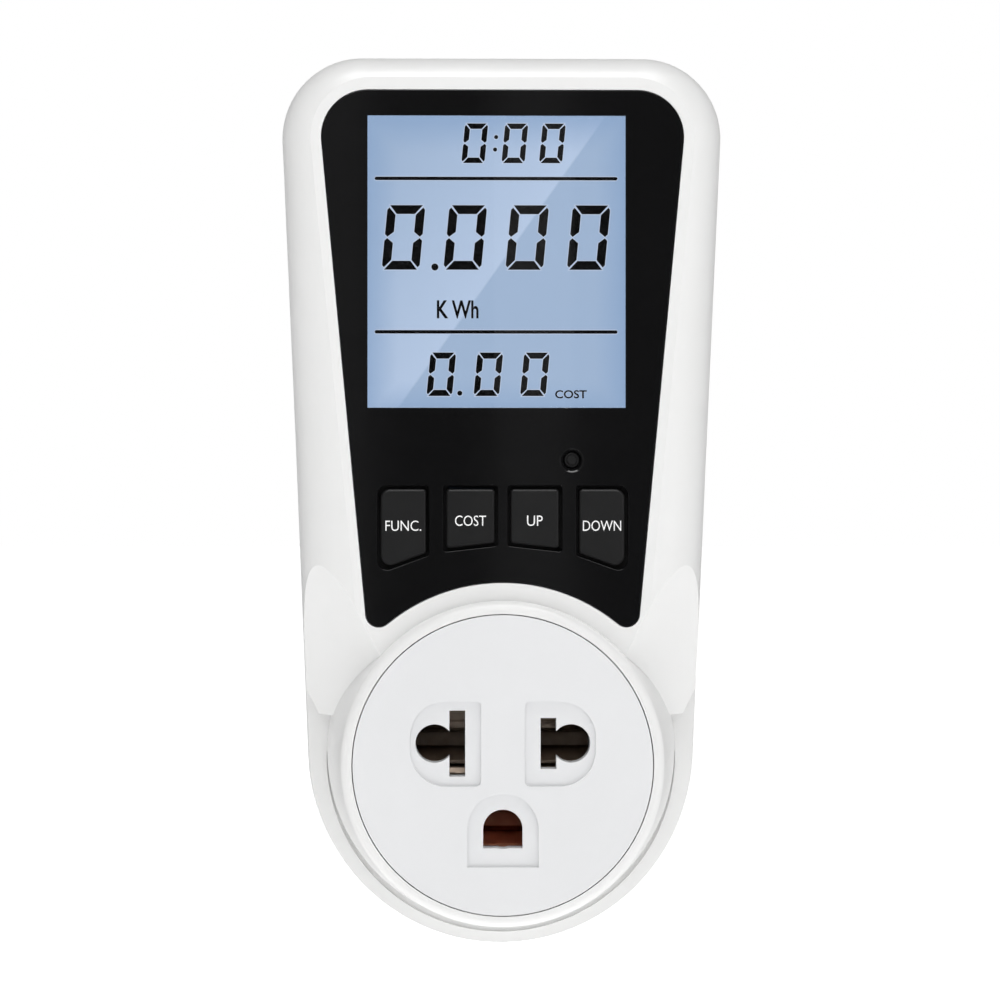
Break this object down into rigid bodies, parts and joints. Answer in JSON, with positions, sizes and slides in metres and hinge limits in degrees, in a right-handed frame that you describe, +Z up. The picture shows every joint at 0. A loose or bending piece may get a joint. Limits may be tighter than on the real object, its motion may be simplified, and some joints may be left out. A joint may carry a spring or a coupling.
{
  "type": "plug in power meter",
  "caption": "Plug-in energy meter: tall white case with display window and key row above a round universal socket, earthed pin plug behind.",
  "frame": {"origin": "on the wall face of the plug base, midway between the line and neutral pins", "axes": "+Z up as plugged in, +X to the right seen from the front, +Y out of the plug into the wall; the display and the socket face -Y"},
  "size_m": [0.0642, 0.0614, 0.1293],
  "materials": {
    "white_shell": "satin white moulded plastic",
    "socket_white": "cool white moulded plastic",
    "black_gloss": "polished black acrylic",
    "clear_window": "clear polished window",
    "display_glass": "backlit blue display",
    "light_guide": "frosted diffuser",
    "dark_plastic": "matt black moulding",
    "grey_rubber": "striped rubber strip",
    "black_sleeve": "matt black sleeve",
    "plated_pin": "bright nickel plating",
    "bronze_contact": "dull phosphor bronze",
    "copper_contact": "dull copper",
    "copper_bar": "rolled copper strip",
    "circuit_board": "green solder mask",
    "battery_wrap": "green shrink wrap",
    "spring_nickel": "bright spring strip",
    "capacitor_box": "yellow potting box",
    "capacitor_can": "dark blue sleeve",
    "varistor_coat": "blue epoxy coat",
    "resistor_body": "grey green coat",
    "label_film": "silver grey film",
    "zinc_steel": "zinc plated",
    "key_black": "satin black",
    "switch_plastic": "brown plunger",
    "switch_body": "black switch body"
  },
  "bodies": {
    "meter_body": {"backlight_panel": "light_guide", "backup_battery": "battery_wrap", "battery_clips": "spring_nickel", "black_bezel": "black_gloss", "board_link": "dark_plastic", "case_screws": "zinc_steel", "contact_carrier": "socket_white", "controller_chip": "dark_plastic", "cost_switch": "switch_body", "current_shunt": "spring_nickel", "display_board": "circuit_board", "display_board_screws": "zinc_steel", "down_switch": "switch_body", "earth_busbar": "copper_bar", "earth_contact": "copper_contact", "earth_pin": "plated_pin", "electrolytic_capacitor": "capacitor_can", "film_capacitor": "capacitor_box", "front_shell": "white_shell", "function_switch": "switch_body", "fusible_resistor": "resistor_body", "lcd_frame": "dark_plastic", "lcd_panel": "display_glass", "line_busbar": "copper_bar", "line_contact": "bronze_contact", "line_pin": "plated_pin", "line_pin_sleeve": "black_sleeve", "line_strap": "copper_bar", "metering_chip": "dark_plastic", "neutral_busbar": "copper_bar", "neutral_contact": "bronze_contact", "neutral_pin": "plated_pin", "neutral_pin_sleeve": "black_sleeve", "plug_base": "socket_white", "plug_screws": "zinc_steel", "power_board": "circuit_board", "power_board_screws": "zinc_steel", "rating_label": "label_film", "rear_shell": "white_shell", "reset_switch": "switch_body", "socket_face": "socket_white", "socket_screws": "zinc_steel", "up_switch": "switch_body", "varistor": "varistor_coat", "window_lens": "clear_window", "zebra_connector": "grey_rubber"},
    "function_button": {"function_key": "key_black", "function_plunger": "switch_plastic"},
    "cost_button": {"cost_key": "key_black", "cost_plunger": "switch_plastic"},
    "up_button": {"up_key": "key_black", "up_plunger": "switch_plastic"},
    "down_button": {"down_key": "key_black", "down_plunger": "switch_plastic"},
    "reset_button": {"reset_key": "key_black", "reset_plunger": "switch_plastic"}
  },
  "joints": [
    {"name": "function_press", "type": "slide", "parent": "meter_body", "child": "function_button", "axis": [0, 1, 0], "range_m": [0, 0.0006], "stiffness_N_per_m": 800, "springref_m": -0.0008},
    {"name": "cost_press", "type": "slide", "parent": "meter_body", "child": "cost_button", "axis": [0, 1, 0], "range_m": [0, 0.0006], "stiffness_N_per_m": 800, "springref_m": -0.0008},
    {"name": "up_press", "type": "slide", "parent": "meter_body", "child": "up_button", "axis": [0, 1, 0], "range_m": [0, 0.0006], "stiffness_N_per_m": 800, "springref_m": -0.0008},
    {"name": "down_press", "type": "slide", "parent": "meter_body", "child": "down_button", "axis": [0, 1, 0], "range_m": [0, 0.0006], "stiffness_N_per_m": 800, "springref_m": -0.0008},
    {"name": "reset_press", "type": "slide", "parent": "meter_body", "child": "reset_button", "axis": [0, 1, 0], "range_m": [0, 0.0005], "stiffness_N_per_m": 800, "springref_m": -0.0008}
  ]
}
